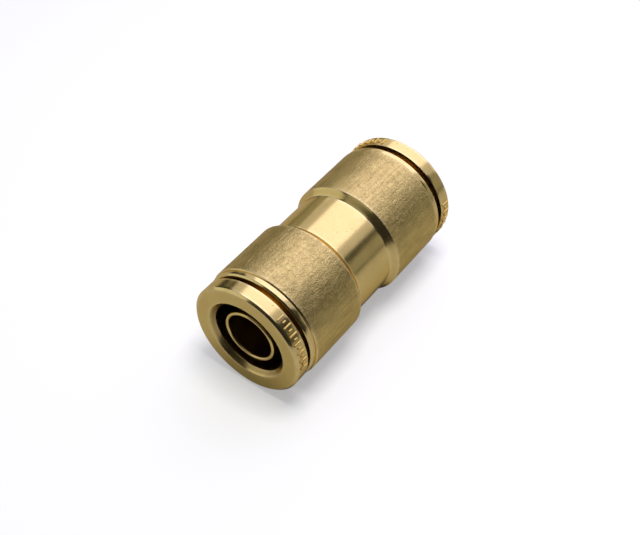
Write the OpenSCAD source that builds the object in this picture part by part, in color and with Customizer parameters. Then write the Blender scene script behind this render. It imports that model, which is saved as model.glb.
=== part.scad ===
// Push to connect tube union: one body with a release end on each side.
// The fitting's axis is X and the origin is its middle. Lengths are in millimetres.
// Each end is described once, on the +X side, as rings about the axis: a ring's outline is a list
// of [radius, x] points. End b is that side, and end a is the same end turned to face -X.

/* [Tube] */
// Outside diameter of the tube that each end takes
tube_d = 12.7; // [9:0.05:18]
// Wall of that tube
tube_wall = 1.575; // [1:0.025:2]
// Radial room between the tube and the bores that it passes through
tube_gap = 0.1; // [0.05:0.01:0.2]

/* [Body] */
// Length of each full-diameter section
section_len = 11.57; // [8:0.01:14]
// Length of each cone between a section and the neck
shoulder_len = 1.1; // [0.5:0.05:1.5]
// How far the neck is turned down below the sections, on the radius
neck_depth = 0.94; // [0.3:0.01:1.1]
// Wall of the body around the collar that is pressed into it
body_wall = 1.42; // [1.3:0.01:3]
// Thickness of the web in the middle that holds the tube supports
web_len = 3.2; // [2:0.1:5]
// Length of the pocket for the tube's end, from the web to the seal
pocket_len = 3.28; // [2:0.01:12]
// Chamfer on the body's outer ends
body_chamfer = 0.15; // [0.05:0.01:0.6]

/* [Retaining collar] */
// Length of the collar inside the body
collar_len = 7.02; // [6:0.01:10]
// Wall of the collar around the button's sleeve
collar_wall = 1.22; // [1.1:0.01:2]
// Thickness of the rim that shows outside the body
rim_len = 1.1; // [0.5:0.01:1.5]
// Chamfer on the rim's front edge
rim_chamfer = 0.25; // [0.1:0.01:0.4]
// How far the rim stays inside the body's outline, on the radius
rim_step = 0.23; // [0.15:0.01:1.2]
// Length of the cone that closes the collet's fingers
cone_len = 1.6; // [1:0.05:2.5]

/* [Collet] */
// Number of spring fingers
finger_count = 8; // [4:1:12]
// Width of the slots between the fingers
slot_w = 0.7; // [0.4:0.05:1]
// Wall of the collet where the button turns on it
collet_wall = 0.5; // [0.4:0.05:1]
// Height of the bead that keeps the button on the collet
bead_h = 0.25; // [0.15:0.05:0.4]
// How deep each tooth bites into the tube's wall
tooth_bite = 0.15; // [0.05:0.05:0.3]

/* [Release button] */
// Gap between the button and the collar's rim, which the button travels when it is pushed
release_gap = 0.87; // [0.8:0.01:2.5]
// Thickness of the button's flange
flange_len = 2.56; // [1.5:0.01:5]
// How far the flange stays inside the body's outline, on the radius
flange_step = 0.29; // [0.1:0.01:1]
// Chamfer around the flange's outer face
flange_chamfer = 0.35; // [0.1:0.05:0.6]
// Chamfer of the mouth, where the tube enters
mouth_chamfer = 0.76; // [0.3:0.01:1]
// Wall of the button's sleeve outside its groove
sleeve_wall = 0.35; // [0.3:0.05:1]

/* [Seal] */
// Thickness of the O-ring's section
cord_d = 1.78; // [1.4:0.01:2.2]
// How far the O-ring's bore is smaller than the tube, on the radius
seal_squeeze = 0.14; // [0.05:0.01:0.3]
// Thickness of the spacer that holds the O-ring in its groove
spacer_len = 1.2; // [0.8:0.05:3]

/* [Tube support] */
// Wall of the support that stands inside the tube
support_wall = 0.6; // [0.4:0.01:1]
// Radial room between the support and the tube's bore
support_gap = 0.045; // [0.02:0.005:0.1]
// Thickness of the shoulder that the tube's end stops against
stop_len = 0.8; // [0.5:0.05:1.5]
// How far the support's tip lies behind the button's outer face
support_recess = 0.89; // [0.3:0.01:3]

/* [Hidden] */
$fn = 96;

brass = "#c6ab6a";
turned_brass = "#dcc88a";
button_brass = "#b39a62";
collet_steel = "#b9bcbf";
nitrile = "#1f1f20";

// Room left between faces: pieces that turn or slide in each other, and ends that stop short
run_gap = 0.05;
collar_gap = 0.08;
end_gap = 0.1;
// Room around the O-ring in its groove, and around the spacer
seal_gap = 0.03;
// Small chamfer on inner edges and on the support's tip
small_chamfer = 0.2;
// Overshoot of a cut past the face that it opens
past = 1;

// Radii, from the axis outwards
tube_r = tube_d / 2;
support_r = tube_r - tube_wall - support_gap;
passage_r = support_r - support_wall;
bore_r = tube_r + tube_gap;
tooth_r = tube_r - tooth_bite;
collet_r = bore_r + collet_wall;
bead_r = collet_r + bead_h;
socket_r = collet_r + run_gap;
groove_r = bead_r + run_gap;
sleeve_r = groove_r + sleeve_wall;
collar_bore_r = sleeve_r + collar_gap;
guide_r = collar_bore_r - run_gap;
collar_r = collar_bore_r + collar_wall;
body_r = collar_r + body_wall;
neck_r = body_r - neck_depth;
rim_r = body_r - rim_step;
flange_r = body_r - flange_step;

// The O-ring bears on the tube; its groove and the shoulder for the spacer go around it
cord_r = cord_d / 2;
seal_mid_r = tube_r - seal_squeeze + cord_r;
gland_r = seal_mid_r + cord_r + seal_gap;
spacer_shoulder = 0.3;
chamber_r = max(collar_r - spacer_shoulder, gland_r + spacer_shoulder);
seat_r = max(collar_r, chamber_r);

// Places along the axis, from the middle outwards
travel = release_gap - end_gap;
gland_len = 1.3 * cord_d;
head_out = 0.6;
head_end_gap = 2 * end_gap;
web_x = web_len / 2;
stop_x = web_x + stop_len;
gland_x = web_x + pocket_len;
spacer_x = gland_x + gland_len;
chamber_x = spacer_x + spacer_len;
head_x = chamber_x + travel + head_end_gap;
seat_x = head_x + head_out;
body_x = seat_x + collar_len;
rim_x = body_x + rim_len;
flange_x = rim_x + release_gap;
face_x = flange_x + flange_len;
section_x = body_x - section_len;
neck_x = section_x - shoulder_len;
tip_x = face_x - support_recess;

// The collet inside the collar: heads in the cone, a guide ring, then the neck under the button
cone_lip = 0.4;
cone_r = collar_r - cone_lip;
cone_x = seat_x + cone_len;
cone_gap = 0.12;
head_r = cone_r - cone_gap;
finger_wall = 0.65;
finger_r = bore_r + finger_wall;
head_len = head_out + cone_len;
guide_len = 1;
guide_x = cone_x + travel;
neck_start_x = guide_x + guide_len;
bead_len = 0.6;
collet_end_x = rim_x - 0.2;
bead_x = collet_end_x - bead_len;
slot_end_x = guide_x - 0.3;
tooth_count = 3;
tooth_pitch = 0.5;

// Carries a [radius, x] outline round the axis
module turned() {
    rotate([0, 90, 0])
        rotate_extrude()
            children();
}

// The end that faces -X
module end_a() {
    rotate([0, 0, 180])
        children();
}

// The end that faces +X
module end_b() {
    children();
}

// The body's outline on the +X side, from the neck around its end and down its socket to the web
body_end = [
    [neck_r, neck_x],
    [body_r, section_x],
    [body_r, body_x - body_chamfer],
    [body_r - body_chamfer, body_x],
    [seat_r, body_x],
    [seat_r, seat_x],
    [chamber_r, seat_x],
    [chamber_r, spacer_x],
    [gland_r, spacer_x],
    [gland_r, gland_x],
    [bore_r, gland_x],
    [bore_r, web_x],
    [support_r, web_x],
];

// Turned from bar: two full sections, a neck between them and a stepped socket in each end
module body() {
    other_end = [for (i = [len(body_end) - 1:-1:0]) [body_end[i].x, -body_end[i].y]];
    color(brass)
        turned()
            polygon(concat(body_end, other_end));
}

// Pressed into the body's end: its cone closes the fingers, and its rim covers the joint
module retaining_collar() {
    color(turned_brass)
        turned()
            polygon([
                [cone_r, seat_x],
                [seat_r, seat_x],
                [seat_r, body_x],
                [rim_r, body_x],
                [rim_r, rim_x - rim_chamfer],
                [rim_r - rim_chamfer, rim_x],
                [collar_bore_r + small_chamfer, rim_x],
                [collar_bore_r, rim_x - small_chamfer],
                [collar_bore_r, cone_x],
            ]);
}

// Flange that is pushed with the fingers, and a sleeve that is snapped over the collet's bead
module release_button() {
    color(button_brass)
        turned()
            polygon([
                [bore_r, collet_end_x + end_gap],
                [groove_r, collet_end_x + end_gap],
                [groove_r, bead_x - end_gap],
                [socket_r, bead_x - end_gap],
                [socket_r, neck_start_x + end_gap],
                [sleeve_r, neck_start_x + end_gap],
                [sleeve_r, flange_x],
                [flange_r - small_chamfer, flange_x],
                [flange_r, flange_x + small_chamfer],
                [flange_r, face_x - flange_chamfer],
                [flange_r - flange_chamfer, face_x],
                [bore_r + mouth_chamfer, face_x],
                [bore_r, face_x - mouth_chamfer],
            ]);
}

// One saw tooth of the collet's bore, steep on the side that stops the tube from leaving
function tooth(i) = [
    [bore_r, head_x + (i + 1) * tooth_pitch],
    [tooth_r, head_x + i * tooth_pitch],
];

// Ring outline of the collet before its slots are cut
module collet_outline() {
    teeth = [for (i = [tooth_count - 1:-1:0]) each tooth(i)];
    polygon(concat(
        teeth,
        [
            [head_r, head_x],
            [head_r, seat_x],
            [collar_bore_r - cone_gap, cone_x],
            [finger_r, cone_x],
            [finger_r, guide_x],
            [guide_r, guide_x],
            [guide_r, neck_start_x],
            [collet_r, neck_start_x],
            [collet_r, bead_x],
            [bead_r, bead_x + small_chamfer],
            [bead_r, collet_end_x - small_chamfer],
            [collet_r, collet_end_x],
            [bore_r, collet_end_x],
        ]
    ));
}

// Spring collet: slots divide its inner part into fingers whose heads hold the tube with teeth
module collet() {
    color(collet_steel)
        difference() {
            turned()
                collet_outline();
            for (i = [0:finger_count - 1])
                rotate([i * 360 / finger_count, 0, 0])
                    translate([head_x - past, -slot_w / 2, 0])
                        cube([slot_end_x - head_x + past, slot_w, body_r]);
        }
}

// Loose ring between the O-ring and the collet's chamber
module seal_spacer() {
    color(turned_brass)
        turned()
            polygon([
                [bore_r, spacer_x],
                [chamber_r - seal_gap, spacer_x],
                [chamber_r - seal_gap, chamber_x],
                [bore_r + small_chamfer, chamber_x],
                [bore_r, chamber_x - small_chamfer],
            ]);
}

// O-ring that seals on the outside of the tube
module tube_seal() {
    color(nitrile)
        turned()
            translate([seal_mid_r, gland_x + gland_len / 2])
                circle(cord_r);
}

// Thin sleeve that stands inside the tube, pressed into the web as far as its shoulder
module tube_support() {
    color(turned_brass)
        turned()
            polygon([
                [passage_r, end_gap],
                [support_r, end_gap],
                [support_r, web_x],
                [bore_r - tube_gap, web_x],
                [bore_r - tube_gap, stop_x],
                [support_r, stop_x],
                [support_r, tip_x - small_chamfer],
                [support_r - small_chamfer, tip_x],
                [passage_r + small_chamfer, tip_x],
                [passage_r, tip_x - small_chamfer],
            ]);
}

body();
end_a() retaining_collar();  // retaining_collar_a
end_b() retaining_collar();  // retaining_collar_b
end_a() release_button();  // release_button_a
end_b() release_button();  // release_button_b
end_a() collet();  // collet_a
end_b() collet();  // collet_b
end_a() seal_spacer();  // seal_spacer_a
end_b() seal_spacer();  // seal_spacer_b
end_a() tube_seal();  // tube_seal_a
end_b() tube_seal();  // tube_seal_b
end_a() tube_support();  // tube_support_a
end_b() tube_support();  // tube_support_b
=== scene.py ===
# Push to connect tube union: one brass body with a release end on each side.
# The fitting's axis is X: end a faces -X and end b faces +X. The origin is its middle, Z is up,
# and it lies on the floor. Blender's lengths are metres, and the sizes named here are millimetres.
import math

import bmesh
import bpy
from mathutils import Matrix, Vector, noise


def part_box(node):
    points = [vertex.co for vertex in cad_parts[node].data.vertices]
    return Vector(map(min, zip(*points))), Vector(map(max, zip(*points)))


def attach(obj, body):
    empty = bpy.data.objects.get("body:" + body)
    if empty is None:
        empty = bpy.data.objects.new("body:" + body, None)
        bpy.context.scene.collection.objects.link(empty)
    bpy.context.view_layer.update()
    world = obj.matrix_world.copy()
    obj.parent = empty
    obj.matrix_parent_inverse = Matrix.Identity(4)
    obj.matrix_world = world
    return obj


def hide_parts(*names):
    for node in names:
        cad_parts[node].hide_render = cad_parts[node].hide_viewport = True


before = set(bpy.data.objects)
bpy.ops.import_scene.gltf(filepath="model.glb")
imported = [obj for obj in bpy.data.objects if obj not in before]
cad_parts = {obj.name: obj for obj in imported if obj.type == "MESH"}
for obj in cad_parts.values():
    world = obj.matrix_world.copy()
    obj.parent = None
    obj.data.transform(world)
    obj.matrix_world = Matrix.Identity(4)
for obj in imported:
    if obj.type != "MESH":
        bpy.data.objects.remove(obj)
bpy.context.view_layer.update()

# ---------------------------------------------------------------------------------------------
# Body: one length of brass bar. Its two full sections keep the bar's drawn and tumbled skin, and
# the neck, the cones, the ends and the stepped sockets are turned on a lathe.
# ---------------------------------------------------------------------------------------------
mm = 0.001


def reach(node):
    """A node's outer radius, and its nearest and furthest places from the fitting's middle."""
    low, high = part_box(node)
    near, far = sorted((abs(low.x), abs(high.x)))
    return max(-low.z, high.z) / mm, near / mm, far / mm


body_r, _, body_end = reach("body")
stop_r, _, _ = reach("tube_support_b")
seal_r, seal_near, _ = reach("tube_seal_b")
spacer_r, spacer_near, _ = reach("seal_spacer_b")
_, collar_near, _ = reach("retaining_collar_b")
section_len = 11.57
shoulder_len = 1.1
neck_r = body_r - 0.94
seat_r = body_r - 1.42
bore_r = stop_r + 0.1
web_x = 1.6
support_r = 4.73
seal_room = 0.27
fit_gap = 0.03
section_x = body_end - section_len
neck_x = section_x - shoulder_len


def turned(outline, side=1, edge=0.06, pitch=0.4, steps=224):
    """A ring turned about X from its closed outline of (radius, place along the axis) points.

    side is -1 for a ring that faces -X. Each corner is rounded by edge, and the straight runs
    are divided to about pitch. A vertex's wear says how close it is to a corner, from 0 to 1.
    """
    bm = bmesh.new()
    corners = [bm.verts.new((side * x * mm, 0, r * mm)) for r, x in outline]
    for before, corner in zip(corners[-1:] + corners, corners):
        bm.edges.new((before, corner))
    sharp = [corner.co.copy() for corner in corners]
    bmesh.ops.bevel(
        bm, geom=corners, affect="VERTICES", offset=edge * mm, offset_type="OFFSET",
        segments=3, profile=0.5, material=-1, clamp_overlap=True,
    )
    for line in [e for e in bm.edges if e.calc_length() > 1.5 * pitch * mm]:
        cuts = round(line.calc_length() / (pitch * mm)) - 1
        bmesh.ops.subdivide_edges(bm, edges=[line], cuts=max(1, cuts))
    wear_of = bm.verts.layers.float.new("wear")
    worn_width = 0.45 * mm
    for v in bm.verts:
        gap = min((v.co - corner).length for corner in sharp)
        v[wear_of] = max(0, 1 - gap / worn_width)
    bm.verts.layers.float.new("darkening")
    bmesh.ops.spin(
        bm, geom=bm.verts[:] + bm.edges[:], cent=(0, 0, 0), axis=(1, 0, 0),
        angle=math.tau, steps=steps, use_merge=True,
    )
    bmesh.ops.recalc_face_normals(bm, faces=bm.faces[:])
    return bm


def darken(bm, amount, low_r, high_r, near, far):
    """Darkens the part of a ring between two radii and two places along the axis, by amount."""
    darkening_of = bm.verts.layers.float["darkening"]
    for v in bm.verts:
        radius = math.hypot(v.co.y, v.co.z) / mm
        if low_r <= radius <= high_r and near <= abs(v.co.x) / mm <= far:
            v[darkening_of] = amount


def finished(bm, name, materials, body, node=None):
    """Makes a bmesh a smooth piece of the model and says what it rides on and stands for."""
    mesh = bpy.data.meshes.new(name)
    bm.to_mesh(mesh)
    bm.free()
    mesh.shade_smooth()
    piece = bpy.data.objects.new(name, mesh)
    bpy.context.scene.collection.objects.link(piece)
    for material in materials:
        mesh.materials.append(material)
    piece.modifiers.new("weighted_normals", "WEIGHTED_NORMAL").keep_sharp = True
    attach(piece, body)
    if node:
        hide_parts(node)
    return piece


class Socket:
    """An output of a shader node that takes part in sums as a number does."""

    def __init__(self, tree, output=None):
        self.tree = tree
        self.output = output

    def node(self, kind, settings=None, inputs=None):
        """Adds a node with its settings, then links or sets its inputs.

        Gives its first output, or None for a node that has none.
        """
        made = self.tree.nodes.new("ShaderNode" + kind)
        for name, value in (settings or {}).items():
            setattr(made, name, value)
        for name, value in (inputs or {}).items():
            if isinstance(value, Socket):
                self.tree.links.new(value.output, made.inputs[name])
            else:
                made.inputs[name].default_value = value
        return Socket(self.tree, made.outputs[0]) if made.outputs else None

    def __getitem__(self, name):
        return Socket(self.tree, self.output.node.outputs[name])

    def maths(self, operation, *values):
        inputs = dict(enumerate(values))
        return self.node("Math", {"operation": operation}, inputs)

    def __add__(self, other):
        return self.maths("ADD", self, other)

    def __sub__(self, other):
        return self.maths("SUBTRACT", self, other)

    def __rsub__(self, other):
        return self.maths("SUBTRACT", other, self)

    def __mul__(self, other):
        return self.maths("MULTIPLY", self, other)

    def __abs__(self):
        return self.maths("ABSOLUTE", self)

    __radd__ = __add__

    def ramp(self, low, high):
        """0 below low and 1 above high, smooth between them."""
        settings = {"interpolation_type": "SMOOTHSTEP"}
        return self.node("MapRange", settings, {"Value": self, "From Min": low, "From Max": high})

    def mix(self, none, full):
        """The colour none where this is 0, and full where it is 1."""
        # The Mix node has sockets of every kind; its colours are inputs 6 and 7 and output 2.
        inputs = {"Factor": self, 6: none, 7: full}
        self.node("Mix", {"data_type": "RGBA"}, inputs)
        return Socket(self.tree, self.tree.nodes[-1].outputs[2])

    def vector(self, x, y, z):
        return self.node("CombineXYZ", {}, {"X": x, "Y": y, "Z": z})

    def grain(self, place, scale, detail=3.0, distortion=0.0):
        """Noise about 0, from -0.5 to 0.5, on a place in millimetres."""
        inputs = {"Vector": place, "Scale": scale, "Detail": detail, "Distortion": distortion}
        return self.node("TexNoise", {}, inputs) - 0.5


def finish(name, paint, metallic=1.0):
    """A material whose colour, roughness and relief in millimetres come from paint."""
    material = bpy.data.materials.new(name)
    material.use_nodes = True
    tree = material.node_tree
    tree.nodes.clear()
    start = Socket(tree)
    metres = start.node("TexCoord")["Object"]
    place = start.node(
        "VectorMath", {"operation": "SCALE"}, {"Vector": metres, "Scale": 1 / mm}
    )
    colour, roughness, relief = paint(start, place)
    normal = start.node("Bump", {}, {"Height": relief, "Distance": mm, "Strength": 1.0})
    inputs = {
        "Base Color": colour,
        "Roughness": roughness,
        "Metallic": metallic,
        "Specular Tint": (0.88, 0.74, 0.50, 1),
        "Normal": normal,
    }
    shader = start.node("BsdfPrincipled", {}, inputs)
    start.node("OutputMaterial", {}, {"Surface": shader})
    return material


bright_brass = (0.80, 0.60, 0.215, 1)
worn_brass = (0.90, 0.71, 0.32, 1)
dull_brass = (0.56, 0.415, 0.145, 1)
skin_brass = (0.70, 0.53, 0.185, 1)
dark_skin = (0.40, 0.295, 0.105, 1)
stain = (0.20, 0.14, 0.06, 1)
# Brown used for painted shade in the gaps between collars and buttons, and for the darker button
# mouths.
darkening_brown = (0.16, 0.095, 0.03, 1)


def turned_finish(start, place):
    """Fine rings left by the lathe's tool, handling marks, a few pits, and worn edges."""
    at = start.node("SeparateXYZ", {}, {"Vector": place})
    radius = start.maths("SQRT", at["Y"] * at["Y"] + at["Z"] * at["Z"])
    rings = start.vector(at["X"] * 3.0, radius * 3.0, at["Z"] * 0.05)
    ring = start.grain(rings, 1.6, 4.0)
    smudge = start.grain(place, 0.35, 4.0, 0.6)
    pits = start.grain(place, 2.6, 2.0).ramp(0.19, 0.24)
    wear = start.node("Attribute", {"attribute_name": "wear"})["Fac"]
    wear = wear * start.grain(place, 1.1).ramp(-0.35, 0.05)
    # The vertex darkening is painted shade in the gaps between collars and buttons, and a darker
    # mouth on each button.
    darkening = start.node("Attribute", {"attribute_name": "darkening"})["Fac"]
    colour = (smudge.ramp(-0.3, 0.3) * 0.3 + 0.1).mix(bright_brass, dull_brass)
    colour = (wear * 0.7).mix(colour, worn_brass)
    colour = (pits * 0.55).mix(colour, stain)
    colour = darkening.mix(colour, darkening_brown)
    roughness = 0.19 + smudge * 0.08 + ring * 0.05 - wear * 0.04 + darkening * 0.15
    relief = ring * 0.0022 - pits * 0.01
    return colour, roughness, relief


def bar_finish(start, place):
    """Drawn and tumbled skin: a mottled, wormy relief, faint streaks along the bar, and dings."""
    at = start.node("SeparateXYZ", {}, {"Vector": place})
    along = start.vector(at["X"] * 0.1, at["Y"], at["Z"])
    streak = start.grain(along, 2.4, 4.0)
    worm = 1 - abs(start.grain(place, 1.4, 2.0, 1.8)) * 4
    speckle = start.grain(place, 3.0, 3.0, 0.6)
    smudge = start.grain(place, 0.3, 3.0, 0.5)
    dings = start.grain(place, 1.3, 1.0, 0.4).ramp(0.25, 0.31)
    wear = start.node("Attribute", {"attribute_name": "wear"})["Fac"]
    wear = wear * start.grain(place, 1.1).ramp(-0.35, 0.05)
    dull = smudge.ramp(-0.3, 0.3) * 0.3 + streak.ramp(-0.2, 0.25) * 0.5
    # The worm and speckle ridges are painted lighter: partly the skin's own mottled tone, partly
    # painted glints where the relief catches the light.
    dull = dull - (worm + speckle).ramp(0.4, 1.2) * 0.3 + 0.1
    colour = dull.mix(skin_brass, dark_skin)
    colour = (wear * 0.7).mix(colour, worn_brass)
    colour = (dings * 0.35).mix(colour, stain)
    roughness = 0.38 + speckle * 0.14 + smudge * 0.1 - wear * 0.08
    relief = worm * 0.032 + speckle * 0.026 + streak * 0.036 - dings * 0.02
    return colour, roughness, relief


turned_brass = finish("turned_brass_finish", turned_finish)
bar_brass = finish("bar_brass_finish", bar_finish)

chamfer = 0.15
half_outline = [
    (neck_r, neck_x),
    (body_r, section_x),
    (body_r, body_end - chamfer),
    (body_r - chamfer, body_end),
    (seat_r, body_end),
    (seat_r, collar_near),
    (spacer_r + fit_gap, collar_near),
    (spacer_r + fit_gap, spacer_near),
    (seal_r + fit_gap, spacer_near),
    (seal_r + fit_gap, seal_near - seal_room),
    (bore_r, seal_near - seal_room),
    (bore_r, web_x),
    (support_r, web_x),
]
body_mesh = turned(half_outline + [(r, -x) for r, x in reversed(half_outline)], pitch=0.3)
skin_wave = 0.012
skin_wave_size = 1.4
bar_brass_slot = 1
skin_r = body_r - 0.5 * chamfer

# The bar's skin is never quite round: it lies up to skin_wave below the full radius.
for v in body_mesh.verts:
    radius = math.hypot(v.co.y, v.co.z)
    if radius > skin_r * mm:
        rise = noise.noise(v.co / (skin_wave_size * mm)) - 1
        out = Vector((0, v.co.y, v.co.z)) / radius
        v.co += out * rise * 0.5 * skin_wave * mm
for face in body_mesh.faces:
    middle = face.calc_center_median()
    on_bar = section_x < abs(middle.x) / mm < body_end - chamfer
    if on_bar and math.hypot(middle.y, middle.z) > skin_r * mm:
        face.material_index = bar_brass_slot
finished(body_mesh, "brass_body", [turned_brass, bar_brass], "union", "body")

# ---------------------------------------------------------------------------------------------
# Tube supports: thin brass sleeves that stand inside the tubes. Each is pressed into the body's
# web as far as its shoulder, and its tip is rounded where the tube slides on.
# ---------------------------------------------------------------------------------------------
sides = {"a": -1, "b": 1}
support_wall = 0.6
stop_len = 0.8
tip_edge = 0.25
_, support_near, support_end = reach("tube_support_b")
passage_r = support_r - support_wall

for end, side in sides.items():
    sleeve = turned(
        [
            (passage_r, support_near),
            (support_r, support_near),
            (support_r, web_x),
            (stop_r, web_x),
            (stop_r, web_x + stop_len),
            (support_r, web_x + stop_len),
            (support_r, support_end),
            (passage_r, support_end),
        ],
        side,
        edge=tip_edge,
        steps=160,
    )
    finished(
        sleeve, f"support_sleeve_{end}", [turned_brass], "union",
        f"tube_support_{end}",
    )

# ---------------------------------------------------------------------------------------------
# Tube seals: black nitrile O-rings, moulded, with a fine satin skin.
# Each lies in the body's groove and bears on the tube.
# ---------------------------------------------------------------------------------------------
cord_r = 0.89


def rubber_finish(start, place):
    """Soft black rubber with a fine bloom and moulding grain."""
    bloom = start.grain(place, 0.9, 4.0)
    colour = bloom.ramp(-0.25, 0.3).mix((0.010, 0.010, 0.011, 1), (0.035, 0.034, 0.033, 1))
    roughness = 0.5 + bloom * 0.2
    return colour, roughness, start.grain(place, 8.0, 2.0) * 0.004


seal_rubber = finish("seal_rubber_finish", rubber_finish, metallic=0.0)

for end, side in sides.items():
    ring = bmesh.new()
    turn = Matrix.Rotation(math.tau / 4, 4, "X")
    centre = Vector((side * (seal_near + cord_r) * mm, 0, (seal_r - cord_r) * mm))
    bmesh.ops.create_circle(
        ring, cap_ends=False, radius=cord_r * mm, segments=32,
        matrix=Matrix.Translation(centre) @ turn,
    )
    bmesh.ops.spin(
        ring, geom=ring.verts[:] + ring.edges[:], cent=(0, 0, 0), axis=(1, 0, 0),
        angle=math.tau, steps=160, use_merge=True,
    )
    bmesh.ops.recalc_face_normals(ring, faces=ring.faces[:])
    finished(ring, f"o_ring_{end}", [seal_rubber], "union", f"tube_seal_{end}")

# ---------------------------------------------------------------------------------------------
# Seal spacers: loose turned rings that keep the O-rings in their grooves.
# ---------------------------------------------------------------------------------------------
_, _, spacer_far = reach("seal_spacer_b")

for end, side in sides.items():
    ring = turned(
        [
            (bore_r, spacer_near),
            (spacer_r, spacer_near),
            (spacer_r, spacer_far),
            (bore_r, spacer_far),
        ],
        side,
        steps=128,
    )
    finished(
        ring, f"spacer_ring_{end}", [turned_brass], "union", f"seal_spacer_{end}"
    )

# ---------------------------------------------------------------------------------------------
# Collets: slotted stainless springs, turned, slit and hardened. Their heads close on the tube
# with teeth, and their necks carry the buttons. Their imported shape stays, with a steel finish.
# ---------------------------------------------------------------------------------------------


def steel_finish(start, place):
    """Bright stainless with the lathe's rings, a little straw colour from the heat, and oil."""
    at = start.node("SeparateXYZ", {}, {"Vector": place})
    ring = start.grain(start.vector(at["X"] * 3.0, 0.0, 0.0), 2.0, 4.0)
    tint = start.grain(place, 0.4, 3.0)
    colour = tint.ramp(-0.2, 0.35).mix((0.62, 0.62, 0.63, 1), (0.60, 0.53, 0.42, 1))
    roughness = 0.28 + tint * 0.12 + ring * 0.08
    return colour, roughness, ring * 0.003


collet_steel = finish("collet_steel_finish", steel_finish)
for end in sides:
    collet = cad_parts[f"collet_{end}"]
    collet.data.materials[0] = collet_steel

# ---------------------------------------------------------------------------------------------
# Retaining collars: turned brass rings pressed into the body's ends over the collets. A bright
# chamfered rim stands outside the body, and the cone inside closes the collet's fingers.
# ---------------------------------------------------------------------------------------------
cone_r = 8.5
cone_len = 1.6
sleeve_bore_r = 7.68
rim_r, _, rim_end = reach("retaining_collar_b")
rim_chamfer = 0.25
# Painted shade for the faces in the gap between a collar and its button.
gap_shade = 0.1

for end, side in sides.items():
    collar = turned(
        [
            (cone_r, collar_near),
            (seat_r, collar_near),
            (seat_r, body_end),
            (rim_r, body_end),
            (rim_r, rim_end - rim_chamfer),
            (rim_r - rim_chamfer, rim_end),
            (sleeve_bore_r, rim_end),
            (sleeve_bore_r, collar_near + cone_len),
        ],
        side,
    )
    # Painted shade: the collar's end face, in the gap under the button's flange, is darkened a
    # little.
    darken(collar, gap_shade, 0, rim_r - rim_chamfer, rim_end - 0.2, rim_end)
    finished(
        collar, f"pressed_collar_{end}", [turned_brass], "union",
        f"retaining_collar_{end}",
    )

# ---------------------------------------------------------------------------------------------
# Release buttons: brass flanges with a sleeve that snaps over the collet's bead, so that they
# turn freely on it and push it in. Their outer edge and mouth are chamfered.
# ---------------------------------------------------------------------------------------------
button_steps = 256
flange_r, sleeve_near, face_x = reach("release_button_b")
flange_len = 2.56
flange_x = face_x - flange_len
front_chamfer = 0.35
mouth_chamfer = 0.76
sleeve_r = 7.60
groove_r = 7.25
socket_r = 7.00
_, _, collet_end = reach("collet_b")
snap_room = 0.1
groove_len = 0.8
groove_end = collet_end + snap_room
groove_near = groove_end - groove_len
rear_edge = 0.25
mouth_darkening = 0.45

for end, side in sides.items():
    button = turned(
        [
            (bore_r, groove_end),
            (groove_r, groove_end),
            (groove_r, groove_near),
            (socket_r, groove_near),
            (socket_r, sleeve_near),
            (sleeve_r, sleeve_near),
            (sleeve_r, flange_x),
            (flange_r, flange_x),
            (flange_r, face_x - front_chamfer),
            (flange_r - front_chamfer, face_x),
            (bore_r + mouth_chamfer, face_x),
            (bore_r, face_x - mouth_chamfer),
        ],
        side,
        edge=0.045,
        steps=button_steps,
    )
    # Painted shade: the flange's rear face, in the gap over the collar, and the sleeve behind it
    # are darkened a little.
    darken(button, gap_shade, 0, flange_r - rear_edge, 0, flange_x + 0.01)
    # The mouth chamfer is darkened.
    darken(button, mouth_darkening, 0, bore_r + mouth_chamfer - 0.1, face_x - mouth_chamfer, face_x)
    finished(
        button, f"flanged_button_{end}", [turned_brass], f"button_{end}",
        f"release_button_{end}",
    )

# ---------------------------------------------------------------------------------------------
# Grip bars: plain raised bars rolled on each button's band, in two groups, long ones and short
# ones in turn. Each bar has rounded edges and stands a little proud of the band.
# ---------------------------------------------------------------------------------------------
bar_w = 0.3
bar_rise = 0.2
bar_sunk = 0.1
bar_edge = 0.12
bar_len = {0: 1.65, 1: 0.8}
bar_count = 13
bar_turn = math.radians(4.6)
group_turn = math.radians(148)
first_bar = {"a": math.radians(36), "b": math.radians(-72)}
band_mid = face_x - front_chamfer - 0.5 * (flange_len - front_chamfer)

for end, side in sides.items():
    bars = bmesh.new()
    for group in range(2):
        for i in range(bar_count):
            size = Vector((bar_len[i % 2], bar_w, bar_rise + bar_sunk)) * mm
            height = (flange_r + 0.5 * (bar_rise - bar_sunk)) * mm
            place = Matrix.Translation((side * band_mid * mm, 0, height))
            angle = first_bar[end] + group * group_turn + i * bar_turn
            turn = Matrix.Rotation(angle, 4, "X")
            cube = bmesh.ops.create_cube(
                bars, size=1, matrix=turn @ place @ Matrix.Diagonal(size.to_4d())
            )
            edges = list({e for v in cube["verts"] for e in v.link_edges})
            bmesh.ops.bevel(
                bars, geom=edges, affect="EDGES", offset=bar_edge * mm, segments=3,
                profile=0.5, material=-1, clamp_overlap=True,
            )
    finished(bars, f"grip_bars_{end}", [turned_brass], f"button_{end}")

# ---------------------------------------------------------------------------------------------
# Studio: a plain white floor under the fitting, soft lights above, behind and beside it, one lamp
# that only lights the floor, a black card, and the camera.
# ---------------------------------------------------------------------------------------------
scene = bpy.context.scene
scene.view_settings.view_transform = "Standard"

floor_size = 1600
floor_mesh = bmesh.new()
bmesh.ops.create_grid(
    floor_mesh, x_segments=1, y_segments=1, size=floor_size / 2 * mm,
    matrix=Matrix.Translation((0, 0, -body_r * mm)),
)
mesh = bpy.data.meshes.new("floor")
floor_mesh.to_mesh(mesh)
floor_mesh.free()
floor = bpy.data.objects.new("floor", mesh)
scene.collection.objects.link(floor)
paper = bpy.data.materials.new("floor_paper")
paper.use_nodes = True
paper.node_tree.nodes.clear()

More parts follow.
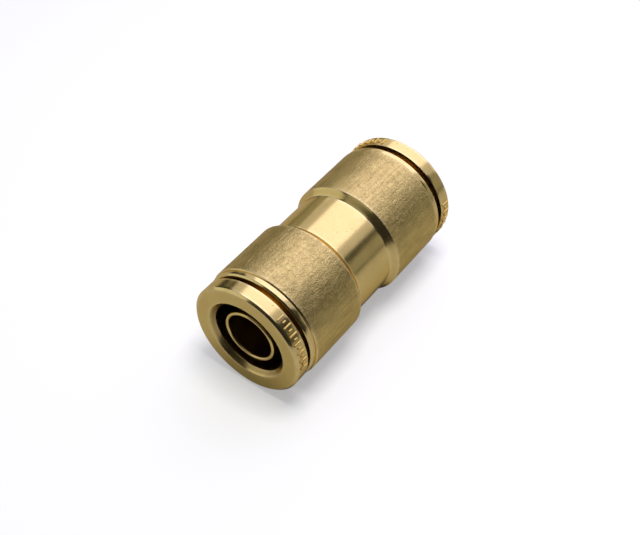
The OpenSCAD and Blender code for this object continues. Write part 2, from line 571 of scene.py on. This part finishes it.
# The camera sees the paper white. The brass mirrors it darker, as it would a paper in half light.
white_paper = (0.45, 0.45, 0.45, 1)
mirrored_paper = (0.35, 0.35, 0.35, 1)
paper_glow = 0.38
start = Socket(paper.node_tree)
seen = start.node("LightPath")["Is Camera Ray"]
inputs = {
    "Base Color": seen.mix(mirrored_paper, white_paper),
    "Roughness": 0.7,
    "Specular IOR Level": 0.1,
    "Emission Color": (1, 1, 1, 1),
    "Emission Strength": seen * paper_glow,
}
start.node("OutputMaterial", {}, {"Surface": start.node("BsdfPrincipled", {}, inputs)})
mesh.materials.append(paper)


def placed(azimuth, elevation, distance):
    """Where a studio piece stands and how it turns to face the fitting. Angles are in degrees."""
    a = math.radians(azimuth)
    e = math.radians(elevation)
    towards = Vector((math.cos(a) * math.cos(e), math.sin(a) * math.cos(e), math.sin(e)))
    turn = towards.to_track_quat("Z", "Y").to_matrix().to_4x4()
    return Matrix.Translation(towards * distance * mm) @ turn


def softbox(
    name, azimuth, elevation, distance, width, height, radiance, colour=(1, 1, 1), mirrored=True
):
    """A soft light that faces the fitting. Its sizes and its distance are millimetres.

    radiance is the brightness that a mirror shows. A light that isn't mirrored lights the floor,
    and the brass doesn't show it.
    """
    light = bpy.data.lights.new(name, "AREA")
    light.shape = "RECTANGLE"
    light.size = width * mm
    light.size_y = height * mm
    light.energy = radiance * math.pi * light.size * light.size_y
    light.color = colour
    lamp = bpy.data.objects.new(name, light)
    scene.collection.objects.link(lamp)
    lamp.matrix_world = placed(azimuth, elevation, distance)
    lamp.visible_camera = False
    lamp.visible_glossy = mirrored


softbox("back_softbox", 8, 55, 300, 330, 270, 0.98, (1, 0.96, 1.5))
softbox("back_softbox_edge", 8, 52, 310, 620, 400, 0.6, (1, 1, 1.3))
softbox("back_wall", 0, 16, 340, 1150, 190, 0.3)
softbox("side_softbox", 120, 17, 300, 420, 330, 0.62)
softbox("top_softbox", 180, 72, 300, 260, 260, 0.35)
softbox("floor_key", -80, 84, 300, 120, 120, 20.5, (1, 0.98, 0.93), mirrored=False)

# A black card stands beside the camera. Only the brass sees it, and it darkens the edges.
card_width = 90
card_height = 60
card_mesh = bmesh.new()
bmesh.ops.create_grid(
    card_mesh, x_segments=1, y_segments=1, size=0.5,
    matrix=placed(-146, 12, 90) @ Matrix.Diagonal((card_width * mm, card_height * mm, 1, 1)),
)
mesh = bpy.data.meshes.new("black_card")
card_mesh.to_mesh(mesh)
card_mesh.free()
card = bpy.data.objects.new("black_card", mesh)
scene.collection.objects.link(card)
felt = bpy.data.materials.new("black_felt")
felt.use_nodes = True
felt.node_tree.nodes["Principled BSDF"].inputs["Base Color"].default_value = (0.01, 0.01, 0.01, 1)
mesh.materials.append(felt)
card.visible_camera = False
card.visible_diffuse = False
card.visible_shadow = False

world = bpy.data.worlds.new("room")
scene.world = world
world.use_nodes = True
air = world.node_tree.nodes["Background"]
air.inputs["Color"].default_value = (1, 1, 1, 1)
air.inputs["Strength"].default_value = 0.04

camera_data = bpy.data.cameras.new("camera")
camera_data.sensor_width = 36
camera_data.lens = 61.5
camera_data.clip_start = 0.01
camera = bpy.data.objects.new("camera", camera_data)
scene.collection.objects.link(camera)
camera.location = Vector((-9.70, -6.92, 12.56)) * body_r * mm
camera.rotation_euler = (math.radians(43.01), 0, math.radians(-53.9))
scene.camera = camera
